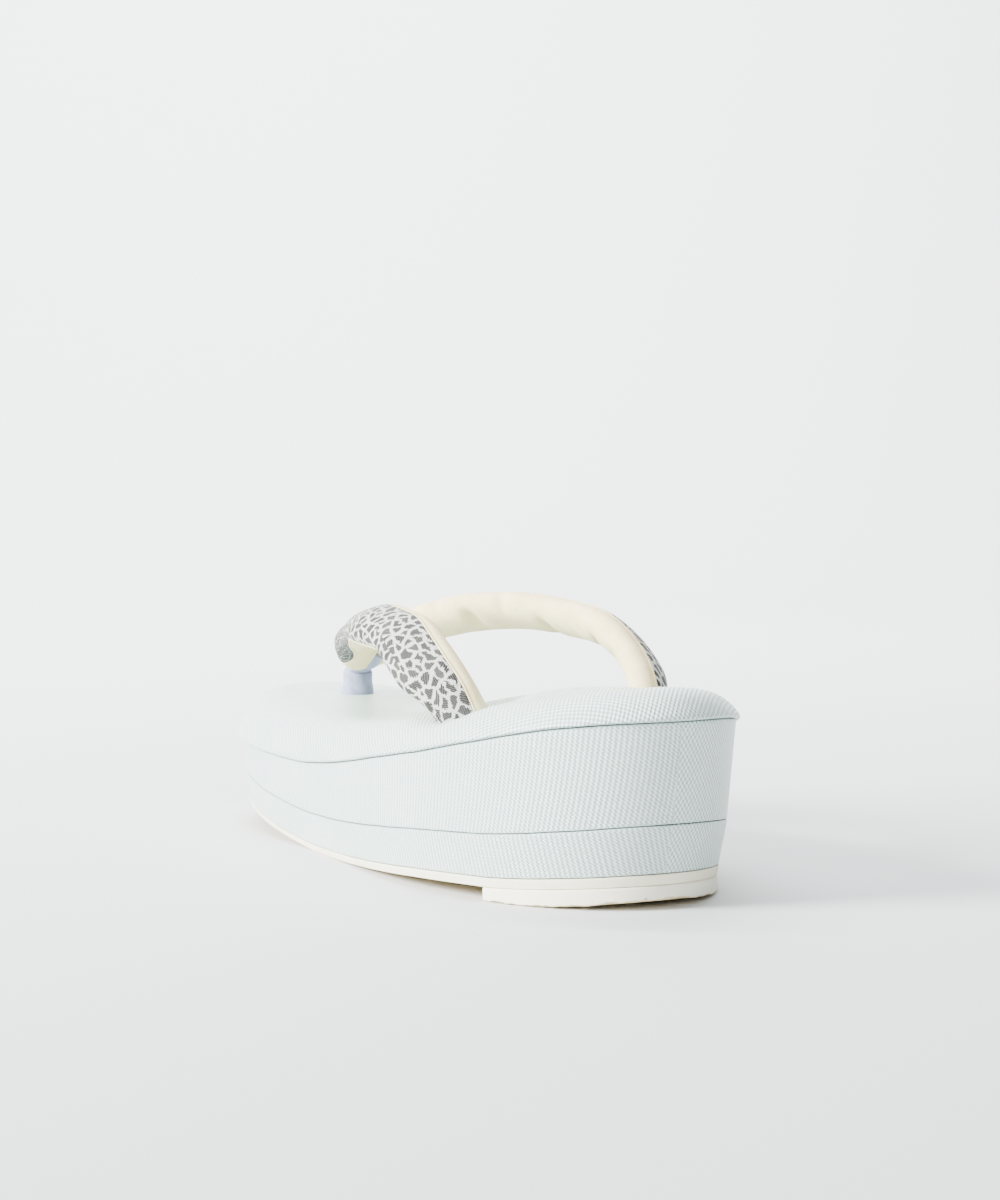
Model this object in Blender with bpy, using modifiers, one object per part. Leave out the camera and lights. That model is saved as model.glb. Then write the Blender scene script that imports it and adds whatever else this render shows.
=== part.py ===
"""A zori sandal: a two-tier covered wedge on a rubber sole, a padded footbed and padded thong straps.

The toe points along +Y and the sandal stands on Z = 0, centred on X = 0 and Y = 0. Units are metres.
"""

import math

import bmesh
import bpy
from mathutils import Vector
from mathutils.bvhtree import BVHTree

MM = 0.001

# Outline of the footbed, seen from above
LENGTH = 240 * MM
BALL_WIDTH = 80 * MM
HEEL_WIDTH = 87 * MM
BALL_FROM_TOE = 89 * MM
HEEL_ROUND_LENGTH = 84 * MM
TOE_FULLNESS = 2.4
HEEL_FULLNESS = 2.0

# Sole, from the floor up
HEEL_LIFT_THICKNESS = 3.3 * MM
HEEL_LIFT_LENGTH = 42 * MM
HEEL_FLAT_FROM_HEEL = 30 * MM
HEEL_SPRING = 4.2 * MM
HEEL_SPRING_CURVE = 1.6
HEEL_RISE = 3.6 * MM
HEEL_RISE_CURVE = 1.35
BALL_FLAT_FROM_TOE = 98 * MM
BALL_FLAT_LENGTH = 8 * MM
TOE_SPRING = 10.2 * MM
TOE_SPRING_CURVE = 1.25
OUTSOLE_HEEL_THICKNESS = 2.7 * MM
OUTSOLE_TOE_THICKNESS = 1.0 * MM
LOWER_TIER_HEEL_THICKNESS = 12.1 * MM
LOWER_TIER_TOE_THICKNESS = 8.7 * MM
LOWER_TIER_SAG = 1.2 * MM
UPPER_TIER_HEEL_THICKNESS = 24.6 * MM
UPPER_TIER_TOE_THICKNESS = 7.6 * MM
UPPER_TIER_SAG = 0.4 * MM
WEDGE_SWELL = 10.5 * MM
WEDGE_SWELL_LENGTH = 65 * MM
CUSHION_HEEL_THICKNESS = 11 * MM
CUSHION_TOE_THICKNESS = 13 * MM
CUSHION_CROWN = 1.5 * MM

# How far each seam of the sole lies inside the footbed's outline: at its sides, at the toe, at the heel
FOOTBED_SEAM = (0.5 * MM, 0.5 * MM, 0.5 * MM)
TIER_SEAM = (1.4 * MM, 2.3 * MM, 5.0 * MM)
SOLE_SEAM = (2.5 * MM, 3.5 * MM, 8.8 * MM)
TREAD_EDGE = (2.9 * MM, 4.0 * MM, 9.3 * MM)

# How far the cushion's rolled edge reaches inwards: at its sides, at the toe, at the heel
CUSHION_ROLL = (16 * MM, 14 * MM, 24 * MM)

# Edges and fits
COVERED_EDGE_RADIUS = 0.8 * MM
RUBBER_EDGE_RADIUS = 0.4 * MM
LAYER_GAP = 0.3 * MM

# Straps and thong
THONG_FROM_TOE = 45 * MM
STRAP_HOLE_FROM_HEEL = 62.5 * MM
STRAP_HOLE_SPACING = 54 * MM
STRAP_WIDTH = 18 * MM
STRAP_THICKNESS = 9 * MM
STRAP_RISE = 28 * MM
STRAP_PARTING = 0.5 * MM
STRAP_TAIL_DIAMETER = 7 * MM
STRAP_TAIL_DEPTH = 6 * MM
THONG_WIDTH = 9.4 * MM
THONG_THICKNESS = 8 * MM
THONG_DEPTH = 7 * MM
HOLE_CLEARANCE = 0.4 * MM
STRAP_GAP = 0.35 * MM
THONG_GAP = 0.5 * MM

# Dimples where the straps and the thong pull the cushion down round their holes
STRAP_DIMPLE_DEPTH = 5.2 * MM
STRAP_DIMPLE_RADIUS = 20 * MM
THONG_DIMPLE_DEPTH = 1.2 * MM
THONG_DIMPLE_RADIUS = 14 * MM

# Points round each half outline, and steps along the straps
TOE_STEPS = 14
SIDE_STEPS = 7
HEEL_STEPS = 16
STRAP_RING_STEPS = 16
STRAP_STEPS_PER_ROW = 3
THONG_STEPS_PER_ROW = 2
HOLE_STEPS = 24

# Section of a padded band: 1 is an ellipse and smaller is squarer
SECTION_SQUARENESS = 0.9

# Rings from a strap's tail out to its foot, as shares of the way
FOOT_SHARES = (0.0, 0.35, 0.7, 1.0)

COLLECTION = "zori_sandal"
CUTTERS = "zori_sandal_cutters"

# Rounded edge of a layer: share of the radius inwards, share of the radius from the face
ROUND_EDGE = (
    (1.00, 0.00),
    (0.29, 0.29),
    (0.00, 1.00),
)

# Side of the cushion: share of the roll's width inwards, share of the cushion's thickness upwards
CUSHION_SIDE = (
    (0.09, 0.00),
    (0.02, 0.05),
    (0.00, 0.16),
    (0.00, 0.32),
    (0.03, 0.50),
    (0.09, 0.66),
    (0.19, 0.80),
    (0.36, 0.91),
    (0.62, 0.97),
    (1.00, 1.00),
)

# Middle of the cushion: shares of the way from its middle line to the roll
CUSHION_MIDDLE = (0.0, 0.25, 0.5, 0.75)

# Right strap from its hole to the middle: x share of the hole's offset, y share of the way from the strap
# hole to the thong, z share of the strap's rise above the footbed, direction of the strap's width in plan in
# degrees from +X towards +Y, dip of its outer edge in degrees, share of its width, share of its thickness
STRAP_ROWS = (
    (1.000, 0.000, 0.000, 45, 0, 0.95, 1.24),
    (1.120, 0.040, 0.040, 38, 10, 1.02, 1.05),
    (1.173, 0.090, 0.237, 37, 19, 1.03, 1.00),
    (1.173, 0.165, 0.490, 36, 21, 1.00, 1.00),
    (1.127, 0.248, 0.699, 37, 22, 0.96, 1.02),
    (1.077, 0.381, 0.840, 33, 25, 0.96, 1.02),
    (0.871, 0.509, 0.925, 32, 24, 0.97, 1.00),
    (0.591, 0.642, 0.915, 32, 25, 1.00, 0.98),
    (0.389, 0.786, 0.785, 36, 23, 1.00, 0.99),
    (0.183, 0.899, 0.580, 58, 24, 0.97, 1.00),
    (0.000, 0.974, 0.415, 90, 28, 0.97, 1.00),
)

# Thong from its lower end up through its hole, then back under the straps to where they part: y from the
# thong's hole as a share of half the way to the strap holes, height above the footbed as a share of the
# thong's depth, lean of the section back from level in degrees, width and thickness as shares of the thong's
THONG_ROWS = (
    (0.000, -1.00, 0, 1.00, 1.00),
    (0.000, 0.00, 0, 1.00, 1.00),
    (0.000, 0.45, 4, 0.98, 0.97),
    (-0.012, 0.70, 20, 0.94, 0.80),
    (-0.055, 0.78, 50, 0.90, 0.50),
    (-0.115, 1.02, 58, 0.86, 0.40),
    (-0.175, 1.40, 50, 0.78, 0.34),
    (-0.215, 1.75, 30, 0.60, 0.28),
)


def smooth(t):
    """Ease from 0 to 1 with flat ends."""
    t = min(max(t, 0.0), 1.0)
    return t * t * (3 - 2 * t)


def mix(a, b, t):
    return a + (b - a) * t


def share_from_heel(y):
    return min(max((y + LENGTH / 2) / LENGTH, 0.0), 1.0)


def sagging(heel, toe, sag, y):
    """A thickness that thins along the sole, with a sag in the middle."""
    share = share_from_heel(y)
    return mix(heel, toe, share) - sag * 4 * share * (1 - share)


def heel_spring(y):
    """Rise of the heel piece's underside behind its flat."""
    behind = HEEL_FLAT_FROM_HEEL - (y + LENGTH / 2)
    return HEEL_SPRING * max(behind / HEEL_FLAT_FROM_HEEL, 0.0) ** HEEL_SPRING_CURVE


def heel_rise(y):
    """Rise of the heel piece's top, from its front edge back."""
    behind = HEEL_LIFT_LENGTH - (y + LENGTH / 2)
    return HEEL_RISE * max(behind / HEEL_LIFT_LENGTH, 0.0) ** HEEL_RISE_CURVE


def wedge_swell(y):
    """Extra thickness of the wedge over the heel, which its cushion is thinner by."""
    share = max(1 - share_from_heel(y) * LENGTH / WEDGE_SWELL_LENGTH, 0.0)
    return WEDGE_SWELL * share**1.5 * (1 - share)


def tread_height(y):
    """Underside of the outsole: over the heel piece, down to the ball's flat, then up to the toe."""
    from_heel = y + LENGTH / 2
    flat_end = LENGTH - BALL_FLAT_FROM_TOE
    flat_start = flat_end - BALL_FLAT_LENGTH
    lifted = HEEL_LIFT_THICKNESS + LAYER_GAP
    heel_side = 1 - smooth((from_heel - HEEL_LIFT_LENGTH) / (flat_start - HEEL_LIFT_LENGTH))
    toe_side = max(from_heel - flat_end, 0.0) / BALL_FLAT_FROM_TOE
    return lifted * heel_side + heel_rise(y) + TOE_SPRING * toe_side**TOE_SPRING_CURVE


def outsole_top(y):
    return tread_height(y) + mix(OUTSOLE_HEEL_THICKNESS, OUTSOLE_TOE_THICKNESS, share_from_heel(y))


def lower_tier_bottom(y):
    return outsole_top(y) + LAYER_GAP


def lower_tier_top(y):
    thickness = sagging(LOWER_TIER_HEEL_THICKNESS, LOWER_TIER_TOE_THICKNESS, LOWER_TIER_SAG, y)
    return lower_tier_bottom(y) + thickness


def upper_tier_bottom(y):
    return lower_tier_top(y) + LAYER_GAP


def upper_tier_top(y):
    thickness = sagging(UPPER_TIER_HEEL_THICKNESS, UPPER_TIER_TOE_THICKNESS, UPPER_TIER_SAG, y)
    return upper_tier_bottom(y) + thickness + wedge_swell(y)


def cushion_bottom(y):
    return upper_tier_top(y) + LAYER_GAP


def cushion_thickness(y):
    thickness = mix(CUSHION_HEEL_THICKNESS, CUSHION_TOE_THICKNESS, smooth(share_from_heel(y)))
    return thickness - wedge_swell(y)


def bed_height(y):
    """Top of the footbed, along its middle."""
    return cushion_bottom(y) + cushion_thickness(y) + CUSHION_CROWN


def drawn_in(seam, inwards):
    """Insets of a seam, drawn in further by the same distance all round."""
    return tuple(inset + inwards for inset in seam)


def half_width(y, seam):
    """Half the width of a seam's outline at y: round at the toe and heel, nearly straight between."""
    side_inset, toe_inset, heel_inset = seam
    ball_half = BALL_WIDTH / 2 - side_inset
    heel_half = HEEL_WIDTH / 2 - side_inset
    ball_y = LENGTH / 2 - BALL_FROM_TOE
    heel_y = HEEL_ROUND_LENGTH - LENGTH / 2
    if y > ball_y:
        reach = min((y - ball_y) / (BALL_FROM_TOE - toe_inset), 1.0)
        return ball_half * (1 - reach**TOE_FULLNESS) ** (1 / TOE_FULLNESS)
    if y < heel_y:
        reach = min((heel_y - y) / (HEEL_ROUND_LENGTH - heel_inset), 1.0)
        return heel_half * (1 - reach**HEEL_FULLNESS) ** (1 / HEEL_FULLNESS)
    return mix(heel_half, ball_half, smooth((y - heel_y) / (ball_y - heel_y)))


def outline(seam):
    """Right half of a seam's outline, from the toe's tip to the heel's tip."""
    ball_y = LENGTH / 2 - BALL_FROM_TOE
    heel_y = HEEL_ROUND_LENGTH - LENGTH / 2
    side_inset, toe_inset, heel_inset = seam
    places = []
    for step in range(TOE_STEPS, 0, -1):
        turn = math.sin(math.pi / 2 * step / TOE_STEPS) ** (2 / TOE_FULLNESS)
        places.append(ball_y + (BALL_FROM_TOE - toe_inset) * turn)
    flat_end = LENGTH / 2 - BALL_FLAT_FROM_TOE
    places += [ball_y, flat_end]
    for step in range(SIDE_STEPS):
        places.append(mix(flat_end - BALL_FLAT_LENGTH, heel_y, step / SIDE_STEPS))
    for step in range(HEEL_STEPS + 1):
        turn = math.sin(math.pi / 2 * step / HEEL_STEPS) ** (2 / HEEL_FULLNESS)
        places.append(heel_y - (HEEL_ROUND_LENGTH - heel_inset) * turn)
    return [(half_width(y, seam), y) for y in places]


def ring(seam, height, offset):
    """One loop of a layer's right half, at a height that follows the sole's length."""
    return [Vector((x, y, height(y) + offset)) for x, y in outline(seam)]


def to_middle(loop, crown, shares):
    """Loops from a layer's last ring to its middle line, raised by the crown."""
    loops = []
    for share in shares:
        loops.append([Vector((p.x * share, p.y, p.z + crown * (1 - share * share))) for p in loop])
    return loops


def material(name, colour, roughness, metallic=0.0):
    made = bpy.data.materials.new(name)
    made.use_nodes = True
    shader = made.node_tree.nodes["Principled BSDF"]
    shader.inputs["Base Color"].default_value = (*colour, 1.0)
    shader.inputs["Roughness"].default_value = roughness
    shader.inputs["Metallic"].default_value = metallic
    return made


def grid_object(name, loops, closed, finish):
    """An object of quads between loops of points, with points that meet joined."""
    mesh = bmesh.new()
    rows = [[mesh.verts.new(point) for point in loop] for loop in loops]
    for first, second in zip(rows, rows[1:]):
        count = len(first)
        for index in range(count if closed else count - 1):
            after = (index + 1) % count
            mesh.faces.new((first[index], first[after], second[after], second[index]))
    bmesh.ops.remove_doubles(mesh, verts=mesh.verts, dist=0.002 * MM)
    data = bpy.data.meshes.new(name)
    mesh.to_mesh(data)
    mesh.free()
    data.materials.append(finish)
    data.shade_smooth()
    data.set_sharp_from_angle(angle=math.radians(35))
    made = bpy.data.objects.new(name, data)
    bpy.data.collections[COLLECTION].objects.link(made)
    return made


def mirror_halves(made):
    """Join the modelled right half to its mirror image at X = 0."""
    mirror = made.modifiers.new("both_halves", "MIRROR")
    mirror.use_axis = (True, False, False)
    mirror.use_clip = True
    mirror.merge_threshold = 0.01 * MM


def build_layer(name, finish, radius, bottom_seam, bottom_height, top_seam, top_height):
    """A layer of the sole between two seams, with its edges rounded."""
    loops = []
    for inwards, along in ROUND_EDGE:
        loops.append(ring(drawn_in(top_seam, radius * inwards), top_height, -radius * along))
    for inwards, along in reversed(ROUND_EDGE):
        loops.append(ring(drawn_in(bottom_seam, radius * inwards), bottom_height, radius * along))
    loops = to_middle(loops[0], 0.0, (0.0,)) + loops + to_middle(loops[-1], 0.0, (0.0,))
    mirror_halves(grid_object(name, loops, False, finish))


def heel_lift_ring(inwards, offset, height):
    """One loop of the heel piece's right half, from the middle of its straight front to the heel's tip."""
    seam = drawn_in(TREAD_EDGE, inwards)
    front = HEEL_LIFT_LENGTH - LENGTH / 2 - inwards
    tip = seam[2] - LENGTH / 2
    places = [(0.0, front)]
    for y in (front, HEEL_FLAT_FROM_HEEL - LENGTH / 2):
        places.append((half_width(y, seam), y))
    for step in range(1, HEEL_STEPS + 1):
        y = mix(HEEL_FLAT_FROM_HEEL - LENGTH / 2, tip, math.sin(math.pi / 2 * step / HEEL_STEPS))
        places.append((half_width(y, seam), y))
    return [Vector((x, y, offset + height(y))) for x, y in places]


def build_heel_lift(finish):
    """Rubber heel piece with a straight front edge, flat under its front and rising behind."""
    loops = []
    for inwards, along in ROUND_EDGE:
        top = HEEL_LIFT_THICKNESS - along * RUBBER_EDGE_RADIUS
        loops.append(heel_lift_ring(RUBBER_EDGE_RADIUS * inwards, top, heel_rise))
    for inwards, along in reversed(ROUND_EDGE):
        bottom = along * RUBBER_EDGE_RADIUS
        loops.append(heel_lift_ring(RUBBER_EDGE_RADIUS * inwards, bottom, heel_spring))
    loops = to_middle(loops[0], 0.0, (0.0,)) + loops + to_middle(loops[-1], 0.0, (0.0,))
    mirror_halves(grid_object("heel_lift", loops, False, finish))


def cut_round_hole(target, x, y, diameter):
    """Cut a round hole down through a solid."""
    bpy.ops.mesh.primitive_cylinder_add(
        vertices=HOLE_STEPS, radius=diameter / 2, depth=LENGTH, location=(x, y, 0.0)
    )
    cutter = bpy.context.object
    cutter.name = target.name + "_hole_cutter"
    cutter.hide_render = True
    cutter.display_type = "WIRE"
    for held in cutter.users_collection:
        held.objects.unlink(cutter)
    bpy.data.collections[CUTTERS].objects.link(cutter)
    cut = target.modifiers.new("hole", "BOOLEAN")
    cut.operation = "DIFFERENCE"
    cut.solver = "EXACT"
    cut.object = cutter


def dimple(x, y):
    """How far the cushion is pulled down at a place near the holes."""
    depth = 0.0
    thong_y = LENGTH / 2 - THONG_FROM_TOE
    strap_y = STRAP_HOLE_FROM_HEEL - LENGTH / 2
    pulls = (
        (0.0, thong_y, THONG_DIMPLE_DEPTH, THONG_DIMPLE_RADIUS),
        (STRAP_HOLE_SPACING / 2, strap_y, STRAP_DIMPLE_DEPTH, STRAP_DIMPLE_RADIUS),
    )
    for hole_x, hole_y, deepest, radius in pulls:
        away = math.hypot(x - hole_x, y - hole_y) / radius
        depth += deepest * (1 - smooth(away))
    return depth


def build_footbed(finish):
    """Padded top: a flat underside, a rolled edge that overhangs the wedge, and a slightly crowned middle."""
    loops = []
    for inwards, upwards in reversed(CUSHION_SIDE):
        loop = []
        for x, y in outline(tuple(inset * inwards for inset in CUSHION_ROLL)):
            loop.append(Vector((x, y, cushion_bottom(y) + cushion_thickness(y) * upwards)))
        loops.append(loop)
    top = to_middle(loops[0], CUSHION_CROWN, CUSHION_MIDDLE)
    bottom = to_middle(loops[-1], 0.0, (0.0,))
    for loop, (_, upwards) in zip(loops, reversed(CUSHION_SIDE)):
        for point in loop:
            point.z -= dimple(point.x, point.y) * upwards
    for loop in top:
        for point in loop:
            point.z -= dimple(point.x, point.y)
    made = grid_object("footbed", top + loops + bottom, False, finish)
    mirror_halves(made)
    surface = BVHTree.FromObject(made, bpy.context.evaluated_depsgraph_get())
    thong_y = LENGTH / 2 - THONG_FROM_TOE
    strap_y = STRAP_HOLE_FROM_HEEL - LENGTH / 2
    cut_round_hole(made, 0.0, thong_y, THONG_WIDTH + 2 * HOLE_CLEARANCE)
    for side in (-1, 1):
        x = side * STRAP_HOLE_SPACING / 2
        cut_round_hole(made, x, strap_y, STRAP_TAIL_DIAMETER + 2 * HOLE_CLEARANCE)
    return surface


def laid_on(surface, point):
    """The point moved straight up or down to lie just above the footbed."""
    hit = surface.ray_cast(Vector((point.x, point.y, LENGTH)), Vector((0.0, 0.0, -1.0)))[0]
    return Vector((point.x, point.y, hit.z + STRAP_GAP))


def spline_rows(rows, steps):
    """Rows between the given rows, on a smooth curve through them."""
    smoothed = []
    for index in range(len(rows) - 1):
        before = rows[max(index - 1, 0)]
        first = rows[index]
        second = rows[index + 1]
        after = rows[min(index + 2, len(rows) - 1)]
        for step in range(steps):
            t = step / steps
            row = []
            for a, b, c, d in zip(before, first, second, after):
                bend = 2 * a - 5 * b + 4 * c - d
                twist = 3 * b - a - 3 * c + d
                row.append(b + 0.5 * t * (c - a + t * (bend + t * twist)))
            smoothed.append(tuple(row))
    smoothed.append(rows[-1])
    return smoothed


def strap_middle(row):
    """Middle of a strap's section, from its shares."""
    thong_y = LENGTH / 2 - THONG_FROM_TOE
    strap_y = STRAP_HOLE_FROM_HEEL - LENGTH / 2
    y = mix(strap_y, thong_y, row[1])
    return Vector((STRAP_HOLE_SPACING / 2 * row[0], y, bed_height(y) + STRAP_RISE * row[2]))


def padded_section(middle, across, under, width, thickness):
    """Closed ring of a padded band's section: rounded edges and gently domed faces."""
    points = []
    for step in range(STRAP_RING_STEPS):
        angle = 2 * math.pi * step / STRAP_RING_STEPS
        cosine = math.cos(angle)
        sine = math.sin(angle)
        a = math.copysign(abs(cosine) ** SECTION_SQUARENESS, cosine) * width / 2
        b = math.copysign(abs(sine) ** SECTION_SQUARENESS, sine) * thickness / 2
        points.append(middle + across * a + under * b)
    return points


def strap_tail(surface, foot, across, under):
    """Rings of a strap's round tail in its hole, then outwards over the footbed to the strap's foot."""
    centre = laid_on(surface, foot)
    centre.z -= STRAP_TAIL_DEPTH
    loops = [[centre] * STRAP_RING_STEPS]
    loops.append(padded_section(centre, across, under, STRAP_TAIL_DIAMETER, STRAP_TAIL_DIAMETER))
    foot_width = STRAP_WIDTH * STRAP_ROWS[0][5]
    foot_thickness = STRAP_THICKNESS * STRAP_ROWS[0][6]
    for share in FOOT_SHARES:
        width = mix(STRAP_TAIL_DIAMETER, foot_width, share)
        thickness = mix(STRAP_TAIL_DIAMETER, foot_thickness, share)
        loop = padded_section(foot, across, under, width, thickness)
        loops.append([laid_on(surface, point) for point in loop])
    return loops


def build_straps(finish, surface):
    """Both padded straps as one solid, joined where they meet over the thong."""
    rows = spline_rows(STRAP_ROWS, STRAP_STEPS_PER_ROW)
    middles = [strap_middle(row) for row in rows]
    plan = math.radians(rows[0][3])
    across = Vector((math.cos(plan), math.sin(plan), 0.0))
    loops = strap_tail(surface, middles[0], across, Vector((0.0, 0.0, 1.0)).cross(across))
    for index in range(1, len(rows)):
        plan = math.radians(rows[index][3])
        dip = math.radians(rows[index][4])
        level = math.cos(dip)
        across = Vector((math.cos(plan) * level, math.sin(plan) * level, -math.sin(dip)))
        if index < len(rows) - 1:
            heading = middles[index + 1] - middles[index - 1]
        else:
            heading = Vector((-1.0, 0.0, 0.0))
        under = heading.cross(across).normalized()
        width = STRAP_WIDTH * rows[index][5]
        thickness = STRAP_THICKNESS * rows[index][6]
        loop = padded_section(middles[index], across, under, width, thickness)
        for point in loop:
            point.x = max(point.x, STRAP_PARTING / 2)
        loops.append(loop)
    for point in loops[-1]:
        point.x = 0.0
    made = grid_object("straps", loops, True, finish)
    mirror_halves(made)
    return BVHTree.FromObject(made, bpy.context.evaluated_depsgraph_get())


def tucked_under(straps, point):
    """The point moved down, if need be, to lie just below the straps."""
    start = Vector((max(abs(point.x), STRAP_PARTING), point.y, 0.0))
    hit = straps.ray_cast(start, Vector((0.0, 0.0, 1.0)))[0]
    if hit is None:
        return point
    return Vector((point.x, point.y, min(point.z, hit.z - THONG_GAP)))


def build_toe_thong(finish, straps):
    """Soft thong that rises from the front hole and runs back under the joined straps."""
    thong_y = LENGTH / 2 - THONG_FROM_TOE
    strap_y = STRAP_HOLE_FROM_HEEL - LENGTH / 2
    top = bed_height(thong_y)
    right = Vector((1.0, 0.0, 0.0))
    loops = []
    for y_share, z_share, lean, width_share, thickness_share in spline_rows(THONG_ROWS, THONG_STEPS_PER_ROW):
        turn = math.radians(lean)
        y = thong_y + (thong_y - strap_y) / 2 * y_share
        middle = Vector((0.0, y, top + THONG_DEPTH * z_share))
        back = Vector((0.0, math.cos(turn), math.sin(turn)))
        width = THONG_WIDTH * width_share
        thickness = THONG_THICKNESS * thickness_share
        loop = padded_section(middle, right, back, width, thickness)
        loops.append([tucked_under(straps, point) for point in loop])
    bottom = sum(loops[0], Vector()) / STRAP_RING_STEPS
    end = sum(loops[-1], Vector()) / STRAP_RING_STEPS
    loops = [[bottom] * STRAP_RING_STEPS] + loops + [[end] * STRAP_RING_STEPS]
    grid_object("toe_thong", loops, True, finish)


def build():
    for leftover in list(bpy.data.objects):
        bpy.data.objects.remove(leftover)
    for name in (COLLECTION, CUTTERS):
        bpy.context.scene.collection.children.link(bpy.data.collections.new(name))
    canvas = material("pearl_canvas", (0.80, 0.86, 0.86), 0.42)
    rubber = material("cream_rubber", (0.86, 0.84, 0.74), 0.65)
    heel_rubber = material("white_rubber", (0.88, 0.87, 0.82), 0.7)
    brocade = material("silver_brocade", (0.66, 0.66, 0.63), 0.5, 0.2)
    cotton = material("lavender_cotton", (0.74, 0.76, 0.86), 0.85)

    build_heel_lift(heel_rubber)
    build_layer(
        "outsole", rubber, RUBBER_EDGE_RADIUS, TREAD_EDGE, tread_height, SOLE_SEAM, outsole_top
    )
    build_layer(
        "lower_tier", canvas, COVERED_EDGE_RADIUS, SOLE_SEAM, lower_tier_bottom, TIER_SEAM, lower_tier_top
    )
    build_layer(
        "upper_tier", canvas, COVERED_EDGE_RADIUS, TIER_SEAM, upper_tier_bottom, FOOTBED_SEAM, upper_tier_top
    )
    surface = build_footbed(canvas)
    straps = build_straps(brocade, surface)
    build_toe_thong(cotton, straps)


build()
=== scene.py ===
import math

import bmesh
import bpy
from mathutils import Matrix, Vector, noise
from mathutils.bvhtree import BVHTree


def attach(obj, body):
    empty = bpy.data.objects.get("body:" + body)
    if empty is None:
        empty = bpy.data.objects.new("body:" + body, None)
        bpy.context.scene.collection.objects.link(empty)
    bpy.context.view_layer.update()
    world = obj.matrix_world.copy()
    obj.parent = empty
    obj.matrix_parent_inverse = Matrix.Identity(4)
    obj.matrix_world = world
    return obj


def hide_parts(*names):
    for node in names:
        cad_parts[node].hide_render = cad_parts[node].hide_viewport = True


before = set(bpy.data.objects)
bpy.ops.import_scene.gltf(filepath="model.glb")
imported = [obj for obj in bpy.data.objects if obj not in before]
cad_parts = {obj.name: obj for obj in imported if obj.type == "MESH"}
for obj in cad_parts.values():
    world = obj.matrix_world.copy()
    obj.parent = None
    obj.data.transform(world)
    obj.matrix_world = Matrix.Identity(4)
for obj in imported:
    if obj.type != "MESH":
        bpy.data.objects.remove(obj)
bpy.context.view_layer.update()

MM = 0.001

# The rubber heel piece: a whitish crepe block glued under the heel. It has a straight front edge and is cut
# by hand, so its lower edge waves a little. It is flat under its front and rises behind.

LENGTH = 240 * MM
BALL_WIDTH = 80 * MM
HEEL_WIDTH = 87 * MM
BALL_FROM_TOE = 89 * MM
HEEL_ROUND_LENGTH = 84 * MM
TOE_FULLNESS = 2.4
HEEL_FULLNESS = 2.0

TREAD_EDGE = (2.9 * MM, 4.0 * MM, 9.3 * MM)
HEEL_LIFT_THICKNESS = 3.3 * MM
HEEL_LIFT_LENGTH = 42 * MM
HEEL_FLAT_FROM_HEEL = 30 * MM
HEEL_SPRING = 4.2 * MM
HEEL_SPRING_CURVE = 1.6
HEEL_RISE = 3.6 * MM
HEEL_RISE_CURVE = 1.35
# Tan painted on the rubber where it faces the floor: a painted warm glow under the sole
UNDERSIDE_GLOW_TAN = (0.74, 0.60, 0.34, 1)
HEEL_RUBBER_DARK = (0.87, 0.84, 0.66, 1)
HEEL_RUBBER_LIGHT = (0.93, 0.91, 0.77, 1)


def mix(a, b, t):
    return a + (b - a) * t


def smooth(t):
    t = min(max(t, 0.0), 1.0)
    return t * t * (3 - 2 * t)


def share_from_heel(y):
    return min(max((y + LENGTH / 2) / LENGTH, 0.0), 1.0)


def heel_spring(y):
    """Rise of the heel piece's underside behind its flat."""
    behind = HEEL_FLAT_FROM_HEEL - (y + LENGTH / 2)
    return HEEL_SPRING * max(behind / HEEL_FLAT_FROM_HEEL, 0.0) ** HEEL_SPRING_CURVE


def heel_rise(y):
    """Rise of the heel piece's top from its front edge back."""
    behind = HEEL_LIFT_LENGTH - (y + LENGTH / 2)
    return HEEL_RISE * max(behind / HEEL_LIFT_LENGTH, 0.0) ** HEEL_RISE_CURVE


def half_width(y, seam):
    """Half the width of a seam's outline at y. A seam is its inset from the footbed's side, toe and heel."""
    side_inset, toe_inset, heel_inset = seam
    ball_half = BALL_WIDTH / 2 - side_inset
    heel_half = HEEL_WIDTH / 2 - side_inset
    ball_y = LENGTH / 2 - BALL_FROM_TOE
    heel_y = HEEL_ROUND_LENGTH - LENGTH / 2
    if y > ball_y:
        reach = min((y - ball_y) / (BALL_FROM_TOE - toe_inset), 1.0)
        return ball_half * (1 - reach**TOE_FULLNESS) ** (1 / TOE_FULLNESS)
    if y < heel_y:
        reach = min((heel_y - y) / (HEEL_ROUND_LENGTH - heel_inset), 1.0)
        return heel_half * (1 - reach**HEEL_FULLNESS) ** (1 / HEEL_FULLNESS)
    return mix(heel_half, ball_half, smooth((y - heel_y) / (ball_y - heel_y)))


def wander(x, y, size):
    """A slow random push between -1 and 1, the same at every run."""
    return noise.noise(Vector((x, y, 0.0)) / size)


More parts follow.
